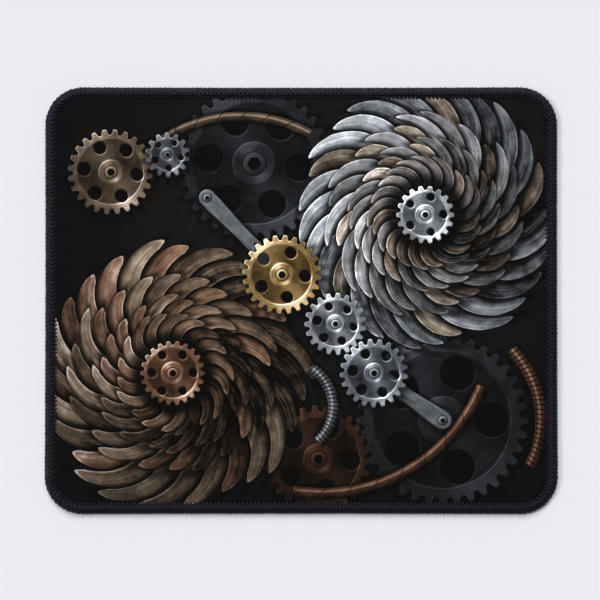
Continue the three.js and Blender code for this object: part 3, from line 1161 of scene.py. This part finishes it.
class Painting:
    """The print so far, and what is laid on it next."""

    def __init__(self, tree, position):
        self.tree, self.position = tree, position
        self.grime = noise(position, 0.13, 4.0, 0.62)
        self.colour = mix(ramp(noise(position, 0.022, 2.0), 0.45, 0.8, 0.0, 0.5), GROUND, RUST)

    def after(self, value):
        """The same value, but only once the colour below is worked out."""
        return vectors("MULTIPLY_ADD", self.colour, (TOO_LITTLE_TO_SEE, TOO_LITTLE_TO_SEE, 0.0), value)

    def draw(self, group, **values):
        """One use of a motif, with its outputs by name."""
        node = self.tree.nodes.new("ShaderNodeGroup")
        node.node_tree = group
        for label, value in {**values, "Grime": self.grime}.items():
            plug(self.tree, node.inputs[label.replace("_", " ")], value)
        return {output.name: Flow(self.tree, output) for output in node.outputs}

    def lay(self, parts, tint, light):
        below = vectors("SCALE", self.colour, scale=1.0 - parts["Shadow"] * SHADE)
        self.colour = mix(parts["Mask"], below, metal(parts["Tone"], tint, light))

    def wheels(self, rows):
        here = self.after(self.position)
        place, shape, ring, look, tint = nearest(here, rows)
        radius, angle, facing = around(here, place)
        _, _, size = split(place)
        teeth, depth, turn = split(shape)
        holes, hole_ring, hole_size = split(ring)
        hub, light, soft = split(look)
        parts = self.draw(
            COG, Radius=radius, Angle=angle + turn, Facing=facing, Size=size, Teeth=teeth, Depth=depth,
            Holes=holes, Hole_ring=hole_ring, Hole_size=hole_size, Hub=hub, Soft=soft)
        self.lay(parts, tint, light)

    def fans(self, rows, rings=4, shrink=0.76):
        here = self.after(self.position)
        place, shape, tint, second_tint = nearest(here, rows)
        polar = join(*around(here, place))
        _, _, size = split(place)
        blades, twist, seed = split(shape)
        for ring in range(rings):
            radius, angle, facing = split(self.after(polar))
            outer = size * shrink ** ring
            parts = self.draw(
                BLADE_ROW, Radius=radius, Angle=angle, Facing=facing, Inner=outer * 0.56, Outer=outer,
                Blades=blades - 2.0 * ring, Twist=twist, Seed=seed + 1.0 * ring)
            odd = ramp(parts["Luck"], 0.68, 0.72, 0.12 * ring, 0.75)
            self.lay(parts, mix(odd, tint, second_tint), 1.0)

    def hose(self, centre, ring, size, first, sweep, pitch, tint, light):
        parts = self.draw(
            HOSE, Position=self.after(self.position), Centre=(*centre, 0), Ring=ring, Size=size,
            First=math.radians(first), Sweep=math.radians(sweep), Pitch=pitch)
        self.lay(parts, tint, light)

    def plate(self, start, end, width, tint, light):
        here = self.after(self.position)
        self.lay(self.draw(PLATE, Position=here, Start=(*start, 0), End=(*end, 0), Width=width), tint, light)


GLOW_MIDDLE = (22.0, 38.0, 0.0)
GLOW_NEAR, GLOW_FAR = 48.0, 150.0
GLOW_BRIGHT, GLOW_DIM = 1.06, 0.36


def paint_scrap(tree, position):
    """The whole print, from the back to the front."""
    painting = Painting(tree, position)
    painting.wheels(BACK_WHEELS)
    painting.hose((10, -10), ring=80, size=2.6, first=-100, sweep=78, pitch=13, tint=COPPER, light=0.8)
    painting.hose((-28, 18), ring=68, size=2.3, first=62, sweep=66, pitch=11, tint=BRONZE, light=0.7)
    painting.fans(FANS)
    painting.wheels(MIDDLE_WHEELS)
    painting.plate((34, -34), (66, -56), width=4.2, tint=STEEL, light=0.85)
    painting.plate((-44, 48), (-9, 12), width=3.8, tint=STEEL, light=0.8)
    painting.wheels(FRONT_WHEELS)
    painting.hose((66, -56), ring=46, size=3.0, first=-28, sweep=74, pitch=2.3, tint=COPPER, light=0.85)
    painting.hose((-6, -50), ring=21, size=2.6, first=-50, sweep=110, pitch=1.9, tint=STEEL, light=0.85)
    from_glow = vectors("DISTANCE", position, GLOW_MIDDLE, output="Value")
    glow = ramp(from_glow, GLOW_NEAR, GLOW_FAR, GLOW_BRIGHT, GLOW_DIM)
    return vectors("ADD", vectors("SCALE", painting.colour, scale=glow), BLACK_DYE)


# %% [markdown]
# The cloth itself is a close, matt knit. Its columns of V-shaped loops are only a third of a millimetre
# wide, so from a step away they show as a faint grain. Rows of V shapes are a sine along the cloth whose
# phase leans one way and then the other within each column.

# %% Finish the cloth
COLUMN = 0.36
COURSE = 0.30
V_LEAN = 1.3
KNIT_RELIEF = 0.035 * MM


def finish_cloth(material):
    tree, shader, place = start_finish(material, Roughness=0.78, Specular_IOR_Level=0.06)
    x, y, _ = split(place)
    plug(tree, shader.inputs["Base Color"], paint_scrap(tree, join(x, y)))
    leaning = size_of(fraction(x / COLUMN) - 0.5)
    loops = sine((y / COURSE + leaning * V_LEAN) * TURN) * 0.5 + 0.5
    knit = sine(size_of(leaning * 4.0 - 1.0) * -0.5 * math.pi + 0.5 * math.pi) * (0.55 + 0.45 * loops)
    add_bump(tree, shader, knit, KNIT_RELIEF, 0.6)


cloth_finish = bpy.data.materials.new("printed_cloth")
finish_cloth(cloth_finish)
cloth.data.materials.append(cloth_finish)
print("the print's shader has", len(cloth_finish.node_tree.nodes), "nodes outside its motifs")

# %% [markdown]
# The pad lies on a plain pale surface, far larger than the view.

# %% Lay the floor
FLOOR_REACH = 20.0
FLOOR_PALE = (0.80, 0.805, 0.855, 1.0)

floor_mesh = bmesh.new()
bmesh.ops.create_grid(floor_mesh, x_segments=1, y_segments=1, size=FLOOR_REACH)
floor = mesh_object("floor", floor_mesh)
floor_finish = bpy.data.materials.new("pale_surface")
start_finish(floor_finish, Base_Color=FLOOR_PALE, Roughness=0.9, Specular_IOR_Level=0.1)
floor.data.materials.append(floor_finish)

# %% [markdown]
# Last, each piece is hung on the root body, and the imported node that it stands for is hidden. The table
# also names the finish of each piece.

PIECES = (
    (cloth, "cloth_top", "printed_cloth"),
    (rubber, "rubber_base", "sponge_rubber"),
    (upper_looper, "upper_looper_thread", "edge_thread"),
    (lower_looper, "lower_looper_thread", "edge_thread"),
    (needle, "needle_thread", "edge_thread"),
)
for piece, node, slot in PIECES:
    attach(piece, "root")
    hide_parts(node)
